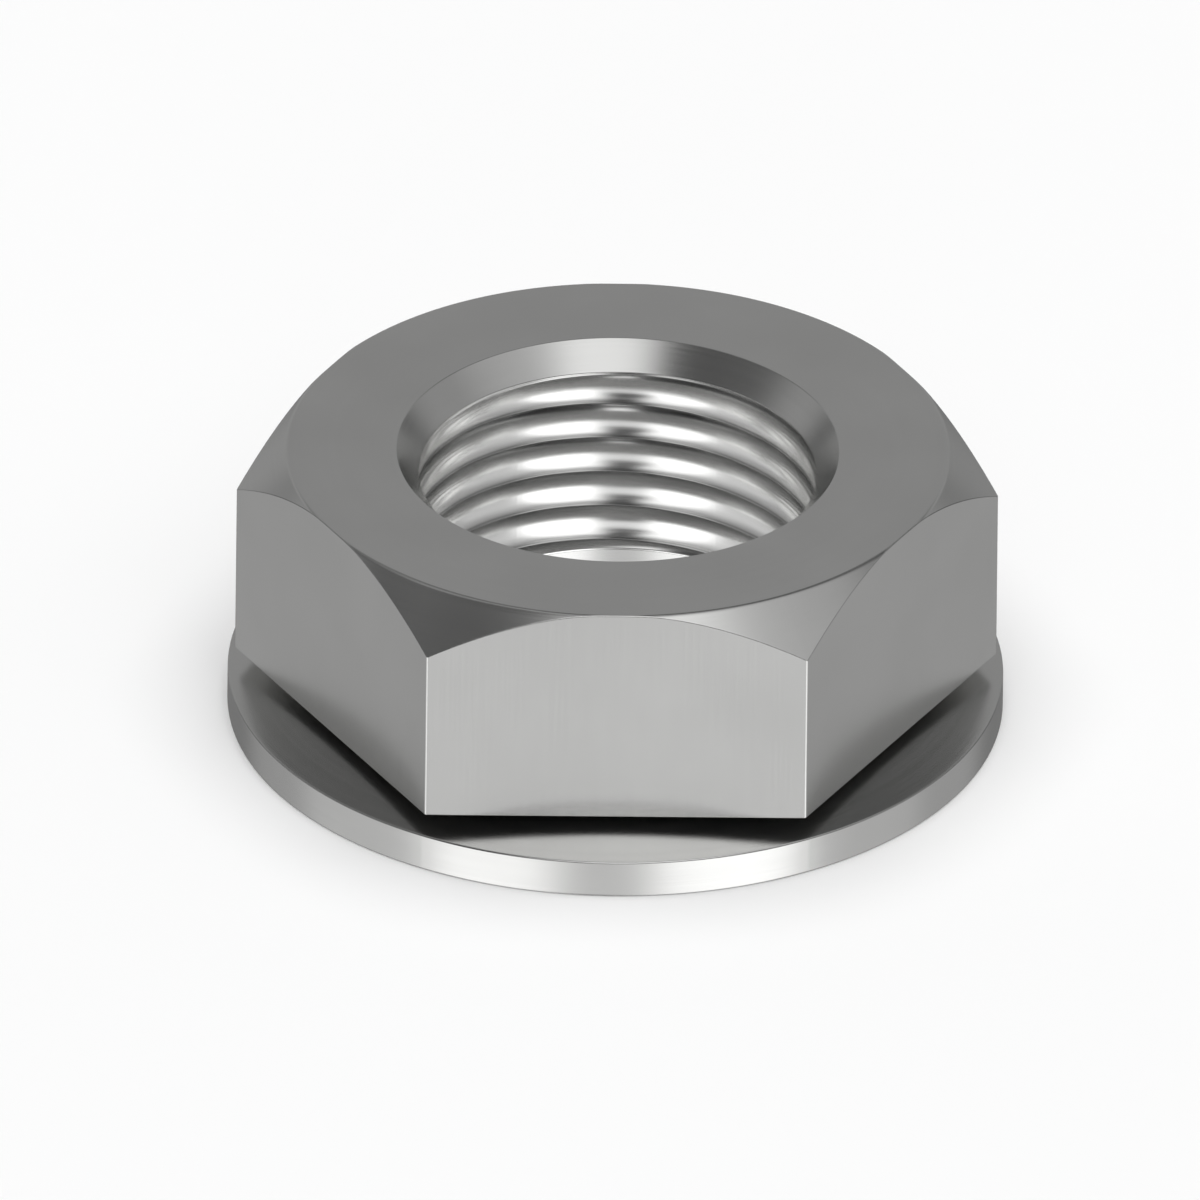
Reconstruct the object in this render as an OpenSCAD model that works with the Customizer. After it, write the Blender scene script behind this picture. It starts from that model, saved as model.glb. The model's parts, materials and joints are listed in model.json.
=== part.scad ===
// Flange jam nut: a thin hexagon nut and its round flange, made as one solid piece.
// Millimetres, +Z up, origin at the centre of the bearing face, flats facing -Y and +Y.
// The bore is cut to the thread's minor diameter, and the fine thread itself is left out.

/* [Hexagon] */
// Width across the flats, where the spanner grips
across_flats = 23.8; // [22:0.1:27]
// Height of the hexagon above the flange
hex_h = 8.4; // [5:0.1:16]
// Angle between the corner chamfer and the top face, in degrees
chamfer_angle = 45; // [20:1:60]
// How far the round edge of the top face is wider than the flats, on the diameter
top_edge_over = 0.05; // [0.02:0.01:0.6]

/* [Flange] */
// Reach of the rim beyond the hexagon's corners
flange_reach = 0.25; // [0.1:0.05:4]
// Height of the rim's upright wall
rim_h = 1.4; // [0.6:0.05:3]
// Rise from the top of the rim's wall to the underside of the hexagon
hub_rise = 0.7; // [0.4:0.05:2]
// Slope of the flange's top face, in degrees
flange_slope = 7.5; // [3:0.5:15]
// Bevel on the rim's upper and lower edges
rim_bevel = 0.08; // [0.02:0.01:0.25]

/* [Bore] */
// Nominal diameter of the thread
thread_d = 15.875; // [12:0.005:17]
// Turns of thread in 25.4 mm
threads_per_inch = 18; // [14:1:32]
// How far the countersink's mouth is wider than the thread, on the diameter
countersink_over = 0.125; // [0.02:0.005:1]
// Included angle of the countersink, in degrees
countersink_angle = 82; // [60:1:120]
// How far the plain relief through the flange is wider than the thread, on the diameter
relief_over = 0.3; // [0.1:0.05:1]
// Bevel at the relief's mouth in the bearing face
relief_bevel = 0.3; // [0.1:0.05:0.5]
// Wall between the relief and the undercut below the hexagon
hub_wall = 1.4; // [0.8:0.1:1.8]

/* [Hidden] */
$fn = 96;
// Depth of an inch thread's flank in a nut, as a share of the pitch, counted on the diameter
minor_share = 1.0825;
// How far a cut runs past the face that it opens
overrun = 1;

flange_h = rim_h + hub_rise;
nut_h = flange_h + hex_h;
across_corners = across_flats / cos(30);
top_edge_r = (across_flats + top_edge_over) / 2;
flange_r = across_corners / 2 + flange_reach;
pitch = 25.4 / threads_per_inch;
minor_r = (thread_d - minor_share * pitch) / 2;
relief_r = (thread_d + relief_over) / 2;
hub_r = relief_r + hub_wall;
countersink_r = (thread_d + countersink_over) / 2;
countersink_depth = (countersink_r - minor_r) / tan(countersink_angle / 2);

// Height of the flange's sloping top at a radius
function slope_z(r) = rim_h + (flange_r - r) * tan(flange_slope);

// Hexagonal prism whose top corners are turned off by a cone
module hexagon() {
    translate([0, 0, flange_h])
        intersection() {
            cylinder(d = across_corners, h = hex_h, $fn = 6);
            cylinder(r1 = top_edge_r + hex_h / tan(chamfer_angle), r2 = top_edge_r, h = hex_h);
        }
}

// Rim and sloping top in one turned profile, with a hub that carries the hexagon above it
module flange() {
    rotate_extrude()
        polygon([
            [0, 0],
            [flange_r - rim_bevel, 0],
            [flange_r, rim_bevel],
            [flange_r, rim_h - rim_bevel],
            [flange_r - rim_bevel, slope_z(flange_r - rim_bevel)],
            [hub_r, slope_z(hub_r)],
            [0, slope_z(hub_r)]
        ]);
    // The hub goes on up inside the hexagon, so the two are one body
    cylinder(r = hub_r, h = flange_h + hex_h / 2);
}

// Everything cut on the axis: bevelled relief, minor diameter of the thread, countersink
module bore() {
    rotate_extrude()
        polygon([
            [0, -overrun],
            [relief_r + relief_bevel + overrun, -overrun],
            [relief_r, relief_bevel],
            [relief_r, flange_h],
            [minor_r, flange_h],
            [minor_r, nut_h - countersink_depth],
            [countersink_r + overrun * tan(countersink_angle / 2), nut_h + overrun],
            [0, nut_h + overrun]
        ]);
}

module flange_jam_nut() {
    color("silver")
        difference() {
            union() {
                hexagon();
                flange();
            }
            bore();
        }
}

flange_jam_nut();
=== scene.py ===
"""Dresses the flange jam nut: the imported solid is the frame, and a fine mesh with a thread replaces it.

Lengths are metres unless a name ends in _mm or _px. The nut stands on its bearing face at z = 0, with
its axis on Z, its flats facing -Y and +Y and its corners on -X and +X.
"""

import json
import logging
import math
from dataclasses import dataclass, field
from enum import Enum

import bpy
import numpy as np
from mathutils import Matrix, Vector


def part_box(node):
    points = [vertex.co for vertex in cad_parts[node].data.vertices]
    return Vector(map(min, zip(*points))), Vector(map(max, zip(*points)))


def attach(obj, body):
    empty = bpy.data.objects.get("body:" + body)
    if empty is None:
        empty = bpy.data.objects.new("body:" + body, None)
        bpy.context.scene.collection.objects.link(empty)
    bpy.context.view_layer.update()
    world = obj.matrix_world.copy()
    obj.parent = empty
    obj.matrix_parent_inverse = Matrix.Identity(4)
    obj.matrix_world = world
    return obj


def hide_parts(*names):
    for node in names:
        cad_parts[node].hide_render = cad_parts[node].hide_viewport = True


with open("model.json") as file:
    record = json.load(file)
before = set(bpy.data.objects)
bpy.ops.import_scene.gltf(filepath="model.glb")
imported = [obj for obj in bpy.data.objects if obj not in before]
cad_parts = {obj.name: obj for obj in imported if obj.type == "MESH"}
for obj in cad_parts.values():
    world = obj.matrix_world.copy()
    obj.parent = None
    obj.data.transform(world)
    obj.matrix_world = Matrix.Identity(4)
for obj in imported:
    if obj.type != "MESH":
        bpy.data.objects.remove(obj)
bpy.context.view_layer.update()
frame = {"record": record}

MM = 0.001
NODE = "flange_jam_nut"

# The hexagon's sides, and the angle that one of them spans, whole and half.
SIDES = 6
SIDE = 2 * math.pi / SIDES
HALF_SIDE = SIDE / 2

# Least length that a normal is divided by, so that nothing is divided by zero.
TINY = 1e-18

# A measure is one number, or one for each column of the nut. A profile point is a radius and a height.
Colour = tuple[float, float, float]
Measure = np.ndarray | float
ProfilePoint = tuple[Measure, Measure]

log = logging.getLogger(NODE)


class Zone(Enum):
    """Which way a surface was finished, kept on the mesh so that the marks of the tool follow it."""

    TURNED = 0.0
    DRAWN = 1.0


@dataclass(frozen=True)
class NutSizes:
    """Sizes of the nut in metres, with the outer ones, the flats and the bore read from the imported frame.

    The fields with a value here repeat the part's source, where a width given there on the diameter is
    halved to a radius and the countersink's cone to the angle of one side. Only groove_depth, the depth
    of the thread, is the scene's own, because the solid leaves the thread out.
    """

    flange_r: float
    nut_h: float
    flat_r: float
    minor_r: float
    rim_h: float = 1.4 * MM
    hub_rise: float = 0.7 * MM
    slope: float = math.radians(7.5)
    chamfer: float = math.radians(45)
    top_edge_over: float = 0.025 * MM
    major_r: float = 7.9375 * MM
    pitch: float = 25.4 / 18 * MM
    groove_depth: float = 0.18 * MM
    countersink_over: float = 0.0625 * MM
    countersink: float = math.radians(41)
    relief_over: float = 0.15 * MM
    relief_bevel: float = 0.3 * MM
    hub_wall: float = 1.4 * MM

    @classmethod
    def from_frame(cls) -> "NutSizes":
        """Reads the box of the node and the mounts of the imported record.

        The flange's radius is the smaller half of the box, so that the mesh stays inside the solid's box.

        Returns:
            The sizes of this nut.
        """
        low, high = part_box(NODE)
        mounts = {mount["name"]: mount for mount in frame["record"]["mounts"]}
        return cls(
            flange_r=min(high.x, high.y),
            nut_h=high.z - low.z,
            flat_r=abs(mounts["spanner_flat_front"]["pos_m"][1]),
            minor_r=mounts["thread"]["dims"]["r_mm"] * MM,
        )

    @property
    def seat_z(self) -> float:
        """Height of the hexagon's underside above the bearing face."""
        return self.rim_h + self.hub_rise

    @property
    def relief_r(self) -> float:
        """Radius of the plain relief through the flange."""
        return self.major_r + self.relief_over

    @property
    def hub_r(self) -> float:
        """Radius of the hub between the flange's slope and the hexagon."""
        return self.relief_r + self.hub_wall

    @property
    def mouth_r(self) -> float:
        """Radius of the countersink's mouth in the top face."""
        return self.major_r + self.countersink_over

    @property
    def thread_low(self) -> float:
        """Height at which the plain relief ends and the thread begins."""
        return self.seat_z

    @property
    def thread_high(self) -> float:
        """Height at which the thread ends and the countersink begins."""
        return self.nut_h - (self.mouth_r - self.minor_r) / math.tan(self.countersink)

    @property
    def top_edge_r(self) -> float:
        """Radius at which the corner chamfer meets the top face."""
        return self.flat_r + self.top_edge_over

    def slope_z(self, r: float) -> float:
        """Height of the flange's sloping top at radius r."""
        return self.rim_h + (self.flange_r - r) * math.tan(self.slope)


@dataclass(frozen=True)
class EdgeBreaks:
    """Radii of the small rounds that real edges have, in metres."""

    corner: float = 0.09 * MM
    rim: float = 0.07 * MM
    hexagon_foot: float = 0.05 * MM
    hexagon_top: float = 0.06 * MM
    top_ring: float = 0.08 * MM
    bore: float = 0.05 * MM


@dataclass
class FlangeJamNut:
    """The whole nut as one closed surface: a profile of rows carried round the axis.

    Every row holds a radius and a height for each column angle, so a row may be a circle, the rounded
    hexagon, the curve where the chamfer cuts a flat, or a slice through the helical thread. Two point
    attributes ride on the mesh: `zone` is the way the surface was finished, and `root` runs from 0 on a
    crest of the thread to 1 at its root.
    """

    sizes: NutSizes
    edges: EdgeBreaks = field(default_factory=EdgeBreaks)
    columns_per_flat: int = 60
    columns_per_corner: int = 8
    bend_rows: int = 7
    thread_rows: int = 130
    row_gap: float = 0.02 * MM
    root_round: float = 0.03
    crest_power: float = 2.3
    fade: float = 0.12

    def __post_init__(self) -> None:
        """Lays out the column angles and the rounded hexagon's radius at each."""
        self.angles = self._column_angles()
        self.hexagon = self._hexagon_radius(self.angles)
        self.rows_r: list[np.ndarray] = []
        self.rows_z: list[np.ndarray] = []
        self.rows_zone: list[float] = []
        self.rows_root: list[np.ndarray] = []
        self.thread_start = 0
        self.thread_end = 0

    def _corner_half_angle(self) -> float:
        """Angle from a corner to its round's end, (flat_r - corner) * tan(30) from the flat's middle."""
        along = (self.sizes.flat_r - self.edges.corner) * math.tan(HALF_SIDE)
        return HALF_SIDE - math.atan(along / self.sizes.flat_r)

    def _column_angles(self) -> np.ndarray:
        """Angles of the columns, close together round each of the six corners.

        Returns:
            The angles in radians, from the corner on +X, rising, without a repeat at the end.
        """
        half = self._corner_half_angle()
        corner = np.linspace(-half, half, self.columns_per_corner, endpoint=False)
        flat = np.linspace(half, SIDE - half, self.columns_per_flat, endpoint=False)
        sector = np.concatenate([corner, flat])
        corners = 2 * math.pi * np.arange(SIDES) / SIDES
        return (corners[:, None] + sector[None, :]).ravel()

    def _hexagon_radius(self, angles: np.ndarray) -> np.ndarray:
        """Radius of the hexagon at each angle, with its six corners rounded.

        On a flat the radius is flat_r / cos(angle from the flat's middle). Near a corner it is the far
        crossing of the ray with a circle of radius `corner`, whose centre lies on the corner's bisector.

        Args:
            angles: The column angles in radians.

        Returns:
            One radius for each angle.
        """
        off = np.abs((angles + HALF_SIDE) % SIDE - HALF_SIDE)
        centre = (self.sizes.flat_r - self.edges.corner) / math.cos(HALF_SIDE)
        flat = self.sizes.flat_r / np.cos(HALF_SIDE - off)
        inside = np.maximum(self.edges.corner**2 - (centre * np.sin(off)) ** 2, 0.0)
        round_ = centre * np.cos(off) + np.sqrt(inside)
        return np.where(off < self._corner_half_angle(), round_, flat)

    def _row(self, r: Measure, z: Measure, zone: Zone = Zone.TURNED, root: Measure = 0.0) -> None:
        """Adds one row to the profile, as a circle where r and z are plain numbers.

        Args:
            r: Radius, one number or one for each column.
            z: Height, likewise.
            zone: The finish of the row.
            root: How far the row lies down in the thread, from 0 on a crest to 1 at a root.
        """
        shape = self.angles.shape
        self.rows_r.append(np.broadcast_to(np.asarray(r, float), shape))
        self.rows_z.append(np.broadcast_to(np.asarray(z, float), shape))
        self.rows_zone.append(zone.value)
        self.rows_root.append(np.broadcast_to(np.asarray(root, float), shape))

    def _line(
        self,
        start: ProfilePoint,
        end: ProfilePoint,
        shares: tuple[float, ...],
        zone: Zone = Zone.TURNED,
    ) -> None:
        """Adds rows on the straight line from start to end, at the given shares of its length.

        Rows close to both ends keep the smooth shading of a round from spreading over the line.

        Args:
            start: Radius and height where the share is 0.
            end: Radius and height where the share is 1.
            shares: The shares at which a row is put.
            zone: The finish of the rows.
        """
        for share in shares:
            r = start[0] + share * (end[0] - start[0])
            z = start[1] + share * (end[1] - start[1])
            self._row(r, z, zone)

    def _arc(
        self,
        corner: ProfilePoint,
        radius: float,
        from_normal: float,
        to_normal: Measure,
        steps: int,
        zone: Zone = Zone.TURNED,
    ) -> None:
        """Rounds a convex corner of the profile with an arc that touches both of its lines.

        A normal's angle is counted from outward (+r) towards up (+z). The centre lies radius away from
        both lines, on the bisector, and the rows sit at centre + radius * (cos a, sin a).

        Args:
            corner: Radius and height of the sharp corner.
            radius: Radius of the arc.
            from_normal: Angle of the outward normal before the corner, in radians.
            to_normal: Angle of the outward normal after the corner.
            steps: Number of stretches in the arc.
            zone: The finish of the rows.
        """
        half = (np.asarray(to_normal, float) - from_normal) / 2
        bisector = from_normal + half
        reach = radius / np.cos(half)
        centre_r = corner[0] - reach * np.cos(bisector)
        centre_z = corner[1] - reach * np.sin(bisector)
        for k in range(steps + 1):
            a = from_normal + 2 * half * k / steps
            r, z = centre_r + radius * np.cos(a), centre_z + radius * np.sin(a)
            self._row(r, np.minimum(z, self.sizes.nut_h), zone)

    def _flange_rows(self) -> None:
        """Bearing face, rim and sloping top, from the relief's mouth outwards and back in to the hub."""
        s, e = self.sizes, self.edges
        mouth = s.relief_r + s.relief_bevel
        self._line((mouth, 0.0), (s.flange_r, 0.0), (0.0, 0.02, 0.5, 0.98))
        self._arc((s.flange_r, 0.0), e.rim, -math.pi / 2, 0.0, steps=5)
        self._line((s.flange_r, 0.0), (s.flange_r, s.rim_h), (0.5,))
        self._arc((s.flange_r, s.rim_h), e.rim, 0.0, math.pi / 2 - s.slope, steps=5)
        self._line((s.flange_r, s.rim_h), (s.hub_r, s.slope_z(s.hub_r)), (0.05, 0.3, 0.6, 0.97, 1.0))
        self._line((s.hub_r, s.slope_z(s.hub_r)), (s.hub_r, s.seat_z), (0.5, 1.0))

    def _hexagon_rows(self) -> None:
        """Underside, flats, corner chamfers and top face of the hexagon.

        The top is one height over the radius, from `_top_height`, with rows crowded round its bend. Where
        a flat cuts in closer than that bend, they begin row_gap inside its edge and end at least four
        times as far in.
        """
        s, e = self.sizes, self.edges
        self._line((s.hub_r, s.seat_z), (self.hexagon, s.seat_z), (0.03, 0.5, 0.97))
        self._arc((self.hexagon, s.seat_z), e.hexagon_foot, -math.pi / 2, 0.0, steps=4, zone=Zone.DRAWN)
        edge_z, edge_slope = self._top_height(self.hexagon)
        foot, edge = (self.hexagon, s.seat_z), (self.hexagon, edge_z)
        self._line(foot, edge, (0.03, 0.5, 0.97), Zone.DRAWN)
        self._arc(edge, e.hexagon_top, 0.0, math.pi / 2 - np.arctan(edge_slope), steps=5)
        outer = self.rows_r[-1]
        ring_out = np.minimum(s.top_edge_r + e.top_ring, outer - self.row_gap)
        ring_in = np.minimum(s.top_edge_r - e.top_ring, outer - 4 * self.row_gap)
        self._top_rows(outer, ring_out, (0.06, 0.5, 0.94))
        self._top_rows(ring_out, ring_in, np.linspace(0.0, 1.0, self.bend_rows))
        self._top_rows(ring_in, s.mouth_r, (0.04, 0.5, 0.96))

    def _top_height(self, r: np.ndarray) -> tuple[np.ndarray, np.ndarray]:
        """Height and slope of the chamfered top.

        The height is nut_h less tan(chamfer) times a ramp. With x as the radius less top_edge_r, the ramp
        is 0 up to x = -top_ring and x itself from x = top_ring, and between them the parabola
        (x + top_ring)^2 / (4 * top_ring) rounds the bend.

        Args:
            r: Radius of each column.

        Returns:
            The heights, and the downward slopes as rise over run.
        """
        s, e = self.sizes, self.edges
        x = r - s.top_edge_r
        bend = np.clip(x + e.top_ring, 0.0, 2 * e.top_ring)
        ramp = bend**2 / (4 * e.top_ring) + np.maximum(x - e.top_ring, 0.0)
        return s.nut_h - math.tan(s.chamfer) * ramp, math.tan(s.chamfer) * bend / (2 * e.top_ring)

    def _top_rows(
        self, outer: np.ndarray, inner: Measure, shares: tuple[float, ...] | np.ndarray
    ) -> None:
        """Adds rows of the chamfered top between two radii.

        Args:
            outer: Radius of each column where the share is 0.
            inner: Radius where the share is 1.
            shares: The shares at which a row is put.
        """
        for share in shares:
            r = outer + share * (inner - outer)
            self._row(r, self._top_height(r)[0])

    def _bore_rows(self) -> None:
        """Countersink, thread, and the plain relief down to the bearing face."""
        s, e = self.sizes, self.edges
        cone_normal = math.pi - s.countersink
        self._arc((s.mouth_r, s.nut_h), e.bore, math.pi / 2, cone_normal, steps=5)
        mouth, throat = (s.mouth_r, s.nut_h), (s.minor_r, s.thread_high)
        self._line(mouth, throat, (0.15, 0.5, 0.9))
        self._arc(throat, e.bore, cone_normal, math.pi, steps=3)
        top = float(self.rows_z[-1][0])
        self.thread_start = len(self.rows_z) - 1
        for z in np.linspace(top, s.thread_low + e.bore, self.thread_rows + 1)[1:]:
            radius = self._thread_radius(z)
            self._row(radius, z, root=(radius - s.minor_r) / s.groove_depth)
        last = self.rows_r[-1]
        self.thread_end = len(self.rows_z) - 1
        self._row(last + e.bore, s.thread_low)
        self._line((last + e.bore, s.thread_low), (s.relief_r, s.thread_low), (0.5, 1.0))
        self._line((s.relief_r, s.thread_low), (s.relief_r, s.relief_bevel), (0.03, 0.5, 1.0))

    def _thread_radius(self, z: float) -> np.ndarray:
        """Radius of the right-hand thread at height z for each column.

        The phase is the height in pitches less the angle in turns, so a crest climbs one pitch in one
        anticlockwise turn, seen from above. Over one period x runs from 1 at a root to 0 on the crest and
        back, and rise = 1 - x ** crest_power. The wave, 1 at the root and 0 on the crest, is
        (hypot(1, c) - hypot(rise, c)) / (hypot(1, c) - c) with c = root_round, which rounds the root. The
        radius is minor_r + groove_depth * wave, so round ridges stand between narrow roots, and the
        thread fades out smoothly over the share `fade` of the pitch at both of its ends.

        Args:
            z: Height above the bearing face.

        Returns:
            One radius for each column.
        """
        s = self.sizes
        phase = (z - s.thread_high) / s.pitch - (self.angles - math.pi / 2) / (2 * math.pi)
        rise = 1 - np.abs(2 * (phase % 1.0) - 1) ** self.crest_power
        full = math.hypot(1.0, self.root_round)
        wave = (full - np.hypot(rise, self.root_round)) / (full - self.root_round)
        ends = min(s.thread_high - z, z - s.thread_low) / (self.fade * s.pitch)
        fade = min(max(ends, 0.0), 1.0)
        return s.minor_r + s.groove_depth * wave * fade * fade * (3 - 2 * fade)

    def build(self) -> bpy.types.Object:
        """Makes the closed mesh from the rows.

        Vertex (i, j) is (r cos a, r sin a, z) of row i at column angle a. Faces join each row to the next
        and each column to the next, both ways round, so the surface has no border. The split normals are
        the sum of the neighbouring faces' area vectors, so the flats shade flat up to their rounds. The
        faces of the thread take the second material, and all others the first.

        Returns:
            The nut's object, at the origin.
        """
        self._flange_rows()
        self._hexagon_rows()
        self._bore_rows()
        r, z = np.array(self.rows_r), np.array(self.rows_z)
        rows, columns = r.shape
        points = np.stack([r * np.cos(self.angles), r * np.sin(self.angles), z], axis=-1)
        index = np.arange(rows * columns).reshape(rows, columns)
        above, beside = np.roll(index, -1, axis=0), np.roll(index, -1, axis=1)
        corner = np.roll(above, -1, axis=1)
        quads = np.stack([index, beside, corner, above], axis=-1).reshape(-1, 4)
        mesh = bpy.data.meshes.new("flange_jam_nut_surface")
        mesh.from_pydata(points.reshape(-1, 3).tolist(), [], quads.tolist())
        zone = np.repeat(np.array(self.rows_zone, np.float32), columns)
        mesh.attributes.new("zone", "FLOAT", "POINT").data.foreach_set("value", zone)
        # The root attribute is also the mask of the painted shade in the thread's grooves.
        root = np.array(self.rows_root, np.float32).ravel()
        mesh.attributes.new("root", "FLOAT", "POINT").data.foreach_set("value", root)
        row_of_face = np.repeat(np.arange(rows), columns)
        in_thread = (row_of_face >= self.thread_start) & (row_of_face < self.thread_end)
        mesh.polygons.foreach_set("material_index", in_thread.astype(np.int32))
        mesh.polygons.foreach_set("use_smooth", np.ones(len(mesh.polygons), bool))
        mesh.normals_split_custom_set_from_vertices(self._normals(points).reshape(-1, 3).tolist())
        mesh.update()
        nut = bpy.data.objects.new("jam_nut", mesh)
        bpy.context.scene.collection.objects.link(nut)
        return nut

    def dress(self, nut: bpy.types.Object) -> None:
        """Gives the nut its two finishes, the body's first and the thread's second.

        Args:
            nut: The nut's object.
        """
        for finish in (SATIN_STEEL, LIT_CUT_THREAD):
            nut.data.materials.append(finish.material())

    @staticmethod
    def _normals(points: np.ndarray) -> np.ndarray:
        """Vertex normals as the sum of the area vectors of the four faces round each vertex.

        Args:
            points: The vertices, rows by columns by three.

        Returns:
            Unit normals in the same layout.
        """
        beside, above = np.roll(points, -1, axis=1), np.roll(points, -1, axis=0)
        corner = np.roll(above, -1, axis=1)
        area = np.cross(corner - points, above - beside)
        total = area + np.roll(area, 1, axis=0) + np.roll(area, 1, axis=1)
        total += np.roll(area, (1, 1), axis=(0, 1))
        return total / np.maximum(np.linalg.norm(total, axis=-1, keepdims=True), TINY)


@dataclass(frozen=True)
class ToolMarks:
    """Node group with the marks of the tools, used by every steel finish.

    It puts out two values round 0.5: fine lines that run round the axis on turned surfaces and up and
    down on the drawn flats, and a broad, faint cloud. In metres, `line` is the width of a line,
    `drawn_length` its length on a flat and `cloud` the size of a cloud. The details are octaves of
    finer noise.
    """

    name: str = "tool_marks"
    line: float = 0.11 * MM
    drawn_length: float = 4 * MM
    cloud: float = 5 * MM
    line_detail: float = 2.0
    cloud_detail: float = 3.0

    def group(self) -> bpy.types.ShaderNodeTree:
        """Builds the group, or finds it if it is built already.

        Returns:
            The node group, with the input Zone and the outputs Lines and Cloud.
        """
        if self.name in bpy.data.node_groups:
            return bpy.data.node_groups[self.name]
        tree = bpy.data.node_groups.new(self.name, "ShaderNodeTree")
        tree.interface.new_socket("Zone", in_out="INPUT", socket_type="NodeSocketFloat")
        tree.interface.new_socket("Lines", in_out="OUTPUT", socket_type="NodeSocketFloat")
        tree.interface.new_socket("Cloud", in_out="OUTPUT", socket_type="NodeSocketFloat")
        nodes, links = tree.nodes, tree.links
        entry, leave = nodes.new("NodeGroupInput"), nodes.new("NodeGroupOutput")
        place = nodes.new("ShaderNodeTexCoord").outputs["Object"]
        turned = self._noise(tree, self._turned(tree, place), self.line_detail)
        drawn_size = (1 / self.line, 1 / self.line, 1 / self.drawn_length)
        drawn = self._noise(tree, self._scaled(tree, place, drawn_size), self.line_detail)
        mix = nodes.new("ShaderNodeMix")
        links.new(entry.outputs["Zone"], mix.inputs["Factor"])
        links.new(turned, mix.inputs["A"])
        links.new(drawn, mix.inputs["B"])
        links.new(mix.outputs["Result"], leave.inputs["Lines"])
        cloud_size = (1 / self.cloud,) * 3
        cloud = self._noise(tree, self._scaled(tree, place, cloud_size), self.cloud_detail)
        links.new(cloud, leave.inputs["Cloud"])
        return tree

    def _turned(
        self, tree: bpy.types.ShaderNodeTree, place: bpy.types.NodeSocket
    ) -> bpy.types.NodeSocket:
        """Coordinates that hardly change round the axis.

        They are (radius, 0, height) divided by the width of a line, plus the unit vector away from the
        axis, which makes a line waver a little on its way round.

        Args:
            tree: The group that is being built.
            place: The object coordinates.

        Returns:
            The vector for the turned lines.
        """
        nodes, links = tree.nodes, tree.links
        apart = nodes.new("ShaderNodeSeparateXYZ")
        links.new(place, apart.inputs["Vector"])
        flat = nodes.new("ShaderNodeCombineXYZ")
        links.new(apart.outputs["X"], flat.inputs["X"])
        links.new(apart.outputs["Y"], flat.inputs["Y"])
        radius = nodes.new("ShaderNodeVectorMath")
        radius.operation = "LENGTH"
        links.new(flat.outputs["Vector"], radius.inputs[0])
        around = nodes.new("ShaderNodeVectorMath")
        around.operation = "NORMALIZE"
        links.new(flat.outputs["Vector"], around.inputs[0])
        rings = nodes.new("ShaderNodeCombineXYZ")
        links.new(radius.outputs["Value"], rings.inputs["X"])
        links.new(apart.outputs["Z"], rings.inputs["Z"])
        add = nodes.new("ShaderNodeVectorMath")
        add.operation = "MULTIPLY_ADD"
        add.inputs[1].default_value = (1 / self.line,) * 3
        links.new(rings.outputs["Vector"], add.inputs[0])
        links.new(around.outputs["Vector"], add.inputs[2])
        return add.outputs["Vector"]

    @staticmethod
    def _scaled(
        tree: bpy.types.ShaderNodeTree,
        place: bpy.types.NodeSocket,
        factors: tuple[float, float, float],
    ) -> bpy.types.NodeSocket:
        """Multiplies coordinates by one factor for each axis.

        Args:
            tree: The group that is being built.
            place: The coordinates.
            factors: The factors for X, Y and Z.

        Returns:
            The scaled vector.
        """
        scale = tree.nodes.new("ShaderNodeVectorMath")
        scale.operation = "MULTIPLY"
        scale.inputs[1].default_value = factors
        tree.links.new(place, scale.inputs[0])
        return scale.outputs["Vector"]

    @staticmethod
    def _noise(
        tree: bpy.types.ShaderNodeTree, place: bpy.types.NodeSocket, detail: float
    ) -> bpy.types.NodeSocket:
        """Adds noise of cell size 1 over the given coordinates.

        Args:
            tree: The group that is being built.
            place: The coordinates, in cells.
            detail: Octaves of finer noise.

        Returns:
            The noise value, round 0.5.
        """
        noise = tree.nodes.new("ShaderNodeTexNoise")
        noise.inputs["Scale"].default_value = 1.0
        noise.inputs["Detail"].default_value = detail
        tree.links.new(place, noise.inputs["Vector"])
        return noise.outputs["Fac"]


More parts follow.
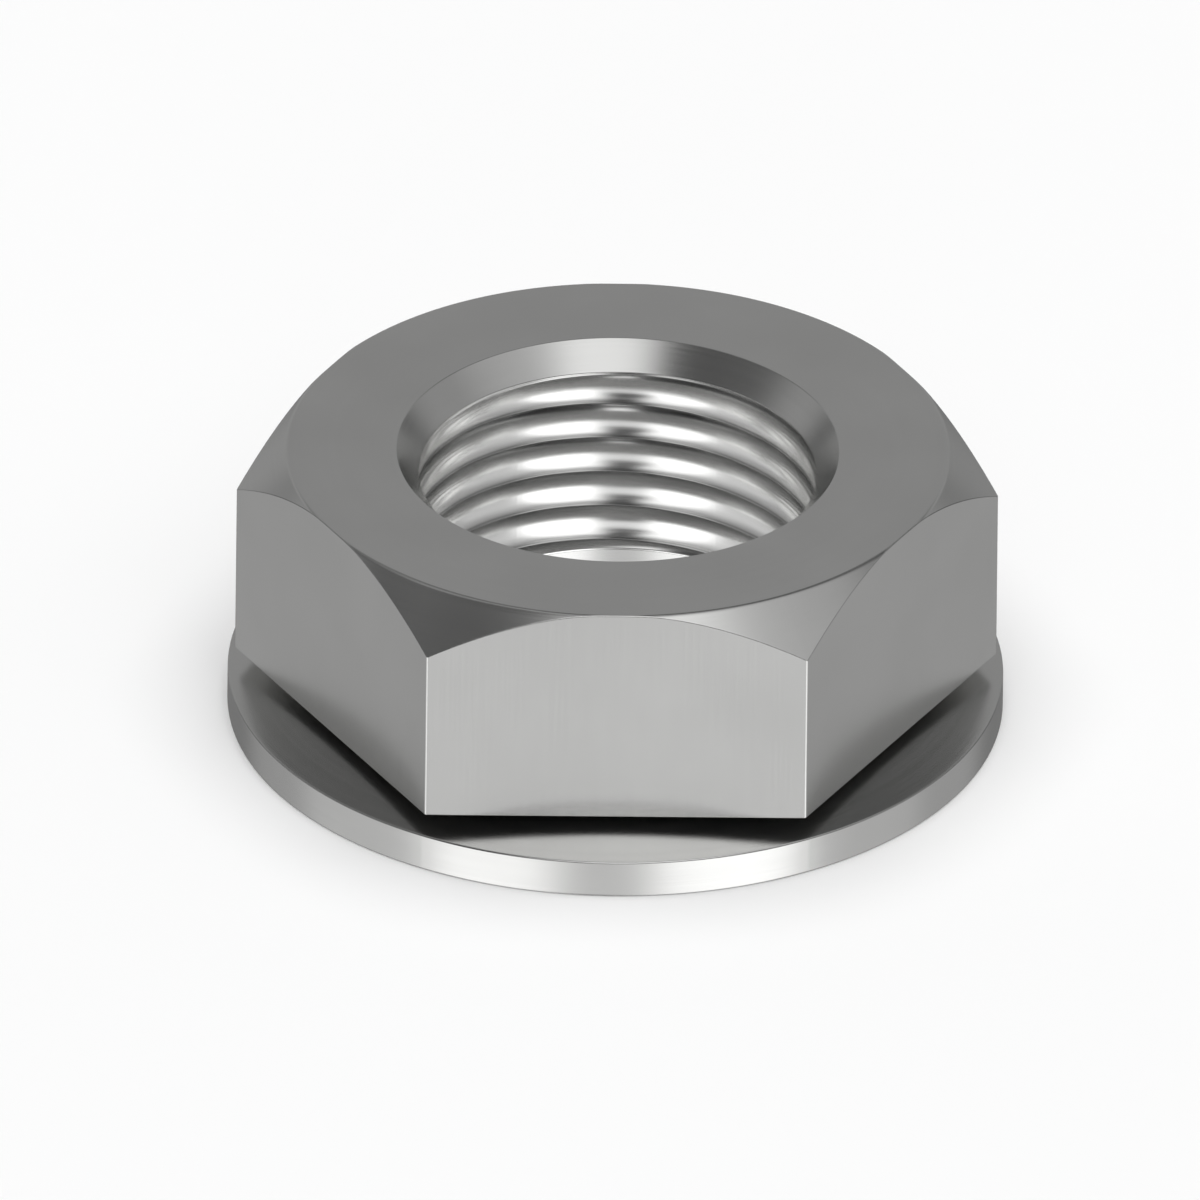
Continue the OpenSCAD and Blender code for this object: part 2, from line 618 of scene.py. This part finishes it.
@dataclass(frozen=True)
class SteelFinish:
    """Plain steel whose colour, gloss and relief follow the marks of the tools.

    The colour runs from dark to pale with the cloud and the roughness from smooth to rough with the
    lines, both while their noise rises from noise_low to noise_high. The lines stand line_height high.
    The colour carries painted shade in the thread's grooves: it darkens towards each root, losing at most
    the given share of its brightness there.
    """

    name: str
    dark: Colour
    pale: Colour
    smooth: float
    rough: float
    line_height: float = 0.00005 * MM
    root_painted_shade: float = 0.7
    noise_low: float = 0.3
    noise_high: float = 0.7

    def material(self) -> bpy.types.Material:
        """Builds the material.

        Returns:
            The finished material.
        """
        made = bpy.data.materials.new(self.name)
        made.use_nodes = True
        nodes, links = made.node_tree.nodes, made.node_tree.links
        shader = nodes["Principled BSDF"]
        shader.inputs["Metallic"].default_value = 1.0
        marks = nodes.new("ShaderNodeGroup")
        marks.node_tree = ToolMarks().group()
        zone = nodes.new("ShaderNodeAttribute")
        zone.attribute_name = "zone"
        links.new(zone.outputs["Fac"], marks.inputs["Zone"])
        colour = nodes.new("ShaderNodeMapRange")
        colour.data_type = "FLOAT_VECTOR"
        # In its vector form the node's inputs 7 to 10 are From Min, From Max, To Min and To Max.
        ends = ((self.noise_low,) * 3, (self.noise_high,) * 3, self.dark, self.pale)
        for number, end in enumerate(ends, 7):
            colour.inputs[number].default_value = end
        links.new(marks.outputs["Cloud"], colour.inputs["Vector"])
        # Painted shade: the colour is scaled by one less the share times the root attribute, so it darkens
        # into the thread's roots.
        root = nodes.new("ShaderNodeAttribute")
        root.attribute_name = "root"
        left = nodes.new("ShaderNodeMath")
        left.operation = "MULTIPLY_ADD"
        left.inputs[1].default_value = -self.root_painted_shade
        left.inputs[2].default_value = 1.0
        links.new(root.outputs["Fac"], left.inputs[0])
        shaded_colour = nodes.new("ShaderNodeVectorMath")
        shaded_colour.operation = "SCALE"
        links.new(colour.outputs["Vector"], shaded_colour.inputs["Vector"])
        links.new(left.outputs["Value"], shaded_colour.inputs["Scale"])
        links.new(shaded_colour.outputs["Vector"], shader.inputs["Base Color"])
        gloss = nodes.new("ShaderNodeMapRange")
        gloss.inputs["From Min"].default_value = self.noise_low
        gloss.inputs["From Max"].default_value = self.noise_high
        gloss.inputs["To Min"].default_value = self.smooth
        gloss.inputs["To Max"].default_value = self.rough
        links.new(marks.outputs["Lines"], gloss.inputs["Value"])
        links.new(gloss.outputs["Result"], shader.inputs["Roughness"])
        relief = nodes.new("ShaderNodeBump")
        relief.inputs["Strength"].default_value = 1.0
        relief.inputs["Distance"].default_value = self.line_height
        links.new(marks.outputs["Lines"], relief.inputs["Height"])
        links.new(relief.outputs["Normal"], shader.inputs["Normal"])
        return made


SATIN_STEEL = SteelFinish(
    name="satin_steel",
    dark=(0.68, 0.68, 0.67),
    pale=(0.72, 0.72, 0.71),
    smooth=0.23,
    rough=0.27,
)
# The thread's paler colour is painted light that brightens it against the shade inside the bore; its
# smoother gloss is the cut finish.
LIT_CUT_THREAD = SteelFinish(
    name="lit_cut_thread",
    dark=(0.88, 0.88, 0.87),
    pale=(0.94, 0.94, 0.93),
    smooth=0.18,
    rough=0.24,
)


@dataclass(frozen=True)
class LightBand:
    """One band of soft light round the nut, between two elevations, brighter here and dimmer there.

    Elevations are in degrees above the floor. Bands below it light the nut from under the horizon, as
    the pale sweep of a studio table does. Each level is an azimuth and a brightness: the azimuth is 0 in
    front of the nut (-Y), 90 to its right (+X) and -90 to its left, and the light eases from one level
    to the next. The band fades over `soft` degrees, half inside its limits and half outside, so two
    bands that share a limit flow into each other. A limit past 90 keeps a band whole up to the pole.
    """

    low: float
    high: float
    levels: tuple[tuple[float, float], ...]
    soft: float = 12.0

    def brightest(self) -> float:
        """Brightness of the band's brightest level."""
        return max(level for _, level in self.levels)


@dataclass(frozen=True)
class PhotoCamera:
    """The photograph's parallel view: angles in degrees, and places in pixels of its square frame."""

    azimuth: float = -0.29
    elevation: float = 30.27
    roll: float = 0.65
    flats_px: float = 659.9
    base_centre_px: tuple[float, float] = (615.06, 701.0)
    frame_px: float = 1200.0
    distance: float = 0.2

    def build(self, sizes: NutSizes) -> None:
        """Places the camera so that the nut's base centre falls on its pixel.

        Args:
            sizes: The nut's sizes, whose flats give the scale.
        """
        scale = 2 * sizes.flat_r / self.flats_px
        a, e, roll = (math.radians(x) for x in (self.azimuth, self.elevation, self.roll))
        back = Vector((math.sin(a) * math.cos(e), -math.cos(a) * math.cos(e), math.sin(e)))
        right = Vector((math.cos(a), math.sin(a), 0.0))
        up = back.cross(right)
        turned_right = right * math.cos(roll) + up * math.sin(roll)
        turned_up = up * math.cos(roll) - right * math.sin(roll)
        off_x = self.base_centre_px[0] - self.frame_px / 2
        off_y = self.base_centre_px[1] - self.frame_px / 2
        target = -turned_right * off_x * scale + turned_up * off_y * scale
        data = bpy.data.cameras.new("photo_camera")
        data.type = "ORTHO"
        data.ortho_scale = self.frame_px * scale
        camera = bpy.data.objects.new("photo_camera", data)
        axes = Matrix((turned_right, turned_up, back)).transposed()
        camera.matrix_world = Matrix.Translation(target + back * self.distance) @ axes.to_4x4()
        bpy.context.scene.collection.objects.link(camera)
        bpy.context.scene.camera = camera


@dataclass
class Studio:
    """Pale floor and soft lights.

    The bands are all the light that the metal mirrors. The sun is hidden from its mirroring, so it lights
    only the floor, where it leaves the nut's soft shadow.
    """

    floor_colour: Colour = (0.93, 0.93, 0.93)
    floor_half: float = 1.5
    floor_gap: float = 0.01 * MM
    bands: tuple[LightBand, ...] = (
        LightBand(-120, -70, ((-180, 0.6), (-35, 0.6), (-20, 0.05), (5, 0.05), (20, 0.6), (180, 0.6))),
        LightBand(
            -70,
            -40,
            (
                (-180, 0.2), (-110, 0.4), (-65, 0.6), (-50, 1.4), (-30, 1.4), (-15, 0.05), (0, 0.05),
                (20, 1.5), (50, 1.5), (65, 0.55), (110, 0.4), (180, 0.2),
            ),
        ),
        LightBand(
            -40,
            -22,
            (
                (-180, 0.2), (-145, 0.2), (-130, 0.38), (-110, 0.38), (-100, 0.6), (-65, 0.6),
                (-50, 1.4), (-25, 1.4), (-10, 0.75), (5, 0.75), (20, 1.5), (50, 1.5), (65, 0.55),
                (100, 0.55), (105, 0.39), (130, 0.39), (145, 0.2), (180, 0.2),
            ),
        ),
        LightBand(
            -22,
            -8,
            (
                (-180, 0.2), (-140, 0.3), (-100, 0.5), (-65, 0.6), (-50, 1.4), (-25, 1.4), (-10, 0.1),
                (5, 0.1), (20, 1.5), (50, 1.5), (65, 0.5), (100, 0.4), (140, 0.2), (180, 0.2),
            ),
        ),
        LightBand(
            -8, 12, ((-180, 0.35), (-145, 0.35), (-130, 0.03), (130, 0.03), (145, 0.3), (180, 0.35))
        ),
        LightBand(
            8, 17, ((-180, 0.0), (-10, 0.0), (-4, 2.2), (5, 2.2), (10, 0.0), (180, 0.0)), soft=6
        ),
        LightBand(
            12,
            30,
            (
                (-180, 0.32), (-150, 0.32), (-135, 0.37), (-100, 0.37), (-80, 0.25), (-35, 0.03),
                (60, 0.03), (85, 0.3), (100, 0.37), (135, 0.37), (150, 0.32), (180, 0.32),
            ),
        ),
        LightBand(
            30,
            48,
            (
                (-180, 0.32), (-150, 0.32), (-130, 0.1), (-70, 0.1), (-35, 0.05), (-20, 1.3), (25, 1.3),
                (40, 0.55), (70, 0.5), (90, 0.45), (110, 0.1), (130, 0.05), (150, 0.32), (180, 0.32),
            ),
        ),
        LightBand(
            48,
            75,
            (
                (-180, 0.1), (-140, 0.15), (-115, 0.25), (-95, 0.35), (-70, 0.1), (-35, 0.1),
                (-5, 1.05), (35, 1.05), (60, 0.55), (90, 0.45), (115, 0.1), (180, 0.1),
            ),
        ),
        LightBand(75, 120, ((-180, 0.4),)),
    )
    sun_strength: float = 2.2
    sun_angle: float = math.radians(60)

    def build_world(self) -> None:
        """Lights the world with the bands, and shows it plain white to the camera.

        The azimuth of a direction (x, y, z) is atan2(x, -y) and its elevation asin(z). Each band adds its
        brightness at the azimuth times its share at the elevation.
        """
        world = bpy.data.worlds.new("studio")
        world.use_nodes = True
        bpy.context.scene.world = world
        tree = world.node_tree
        apart = tree.nodes.new("ShaderNodeSeparateXYZ")
        tree.links.new(tree.nodes.new("ShaderNodeTexCoord").outputs["Generated"], apart.inputs["Vector"])
        x, y, z = (apart.outputs[axis] for axis in "XYZ")
        azimuth = self._math(tree, "ARCTAN2", x, self._math(tree, "MULTIPLY", y, -1.0))
        elevation = self._math(tree, "ARCSINE", z)
        total = None
        for band in self.bands:
            share = self._share(tree, elevation, band)
            brightness = self._ring(tree, azimuth, band)
            rest = 0.0 if total is None else total
            total = self._math(tree, "MULTIPLY_ADD", share, brightness, rest)
        seen = tree.nodes.new("ShaderNodeLightPath").outputs["Is Camera Ray"]
        shown = tree.nodes.new("ShaderNodeMix")
        tree.links.new(seen, shown.inputs["Factor"])
        tree.links.new(total, shown.inputs["A"])
        shown.inputs["B"].default_value = 1.0
        background = tree.nodes["Background"]
        background.inputs["Color"].default_value = (1.0, 1.0, 1.0, 1.0)
        tree.links.new(shown.outputs["Result"], background.inputs["Strength"])

    @staticmethod
    def _math(
        tree: bpy.types.NodeTree, operation: str, *values: bpy.types.NodeSocket | float
    ) -> bpy.types.NodeSocket:
        """Adds a math node.

        Args:
            tree: The world's node tree.
            operation: The node's operation.
            values: Sockets or plain numbers for its inputs, in order.

        Returns:
            The result.
        """
        node = tree.nodes.new("ShaderNodeMath")
        node.operation = operation
        for socket, value in zip(node.inputs, values):
            if isinstance(value, bpy.types.NodeSocket):
                tree.links.new(value, socket)
            else:
                socket.default_value = value
        return node.outputs["Value"]

    def _share(
        self, tree: bpy.types.NodeTree, elevation: bpy.types.NodeSocket, band: LightBand
    ) -> bpy.types.NodeSocket:
        """Falls smoothly from 1 inside the band to 0 above and below it.

        Args:
            tree: The world's node tree.
            elevation: The direction's elevation, in radians.
            band: The band.

        Returns:
            The band's share of light at this elevation.
        """
        middle, half = (band.low + band.high) / 2, (band.high - band.low) / 2
        offset = self._math(tree, "SUBTRACT", elevation, math.radians(middle))
        node = tree.nodes.new("ShaderNodeMapRange")
        node.interpolation_type = "SMOOTHSTEP"
        node.inputs["From Min"].default_value = math.radians(half + band.soft / 2)
        node.inputs["From Max"].default_value = math.radians(half - band.soft / 2)
        tree.links.new(self._math(tree, "ABSOLUTE", offset), node.inputs["Value"])
        return node.outputs["Result"]

    def _ring(
        self, tree: bpy.types.NodeTree, azimuth: bpy.types.NodeSocket, band: LightBand
    ) -> bpy.types.NodeSocket:
        """Runs through the band's levels with the azimuth.

        A ramp holds each level as a share of the brightest one, at (azimuth + 180) / 360.

        Args:
            tree: The world's node tree.
            azimuth: The direction's azimuth, in radians.
            band: The band.

        Returns:
            The band's brightness at this azimuth.
        """
        place = self._math(tree, "MULTIPLY_ADD", azimuth, 0.5 / math.pi, 0.5)
        node = tree.nodes.new("ShaderNodeValToRGB")
        ramp = node.color_ramp
        ramp.interpolation = "EASE"
        # A new ramp has two stops, and the first of them is kept for the first level.
        ramp.elements.remove(ramp.elements[1])
        brightest = band.brightest()
        for number, (angle, level) in enumerate(band.levels):
            position = (angle + 180) / 360
            stop = ramp.elements[0] if number == 0 else ramp.elements.new(position)
            stop.position = position
            stop.color = (*[level / brightest] * 3, 1.0)
        tree.links.new(place, node.inputs["Fac"])
        return self._math(tree, "MULTIPLY", node.outputs["Color"], brightest)

    def build_floor(self) -> None:
        """Lays a pale floor just under the nut.

        The metal doesn't mirror the floor, and the floor casts no shadow, so that the bands below the
        horizon light the nut. It is see-through from below, so that the bearing face can be looked at.
        """
        corners = np.array([(-1, -1, 0), (1, -1, 0), (1, 1, 0), (-1, 1, 0)], float) * self.floor_half
        corners[:, 2] = -self.floor_gap
        mesh = bpy.data.meshes.new("floor")
        mesh.from_pydata(corners.tolist(), [], [(0, 1, 2, 3)])
        floor = bpy.data.objects.new("floor", mesh)
        pale = bpy.data.materials.new("pale_floor")
        pale.use_nodes = True
        shader = pale.node_tree.nodes["Principled BSDF"]
        shader.inputs["Base Color"].default_value = (*self.floor_colour, 1.0)
        shader.inputs["Roughness"].default_value = 1.0
        shader.inputs["Specular IOR Level"].default_value = 0.0
        below = pale.node_tree.nodes.new("ShaderNodeNewGeometry").outputs["Backfacing"]
        above = pale.node_tree.nodes.new("ShaderNodeMath")
        above.operation = "SUBTRACT"
        above.inputs[0].default_value = 1.0
        pale.node_tree.links.new(below, above.inputs[1])
        pale.node_tree.links.new(above.outputs["Value"], shader.inputs["Alpha"])
        mesh.materials.append(pale)
        bpy.context.scene.collection.objects.link(floor)
        floor.visible_glossy = False
        floor.visible_shadow = False

    def build_sun(self) -> None:
        """Hangs a broad, soft sun overhead, which the metal doesn't mirror."""
        sun = bpy.data.lights.new("overhead", "SUN")
        sun.energy = self.sun_strength
        sun.angle = self.sun_angle
        lamp = bpy.data.objects.new("overhead", sun)
        lamp.visible_glossy = False
        bpy.context.scene.collection.objects.link(lamp)

    def build(self) -> None:
        """Builds the lights and the floor, and sets the plain view transform."""
        self.build_world()
        self.build_floor()
        self.build_sun()
        bpy.context.scene.view_settings.view_transform = "Standard"


def main() -> None:
    """Builds the studio and the nut, and reports each piece."""
    logging.basicConfig(level=logging.INFO, format="%(name)s: %(message)s")
    sizes = NutSizes.from_frame()
    Studio().build()
    log.info("world, floor and sun: in place")
    PhotoCamera().build(sizes)
    log.info("photo_camera: in place")
    jam_nut = FlangeJamNut(sizes)
    nut = jam_nut.build()
    jam_nut.dress(nut)
    finishes = " and ".join(finish.name for finish in nut.data.materials)
    log.info("%s: %d faces, finished in %s", nut.name, len(nut.data.polygons), finishes)
    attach(nut, "root")
    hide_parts(NODE)


if __name__ == "__main__":
    main()
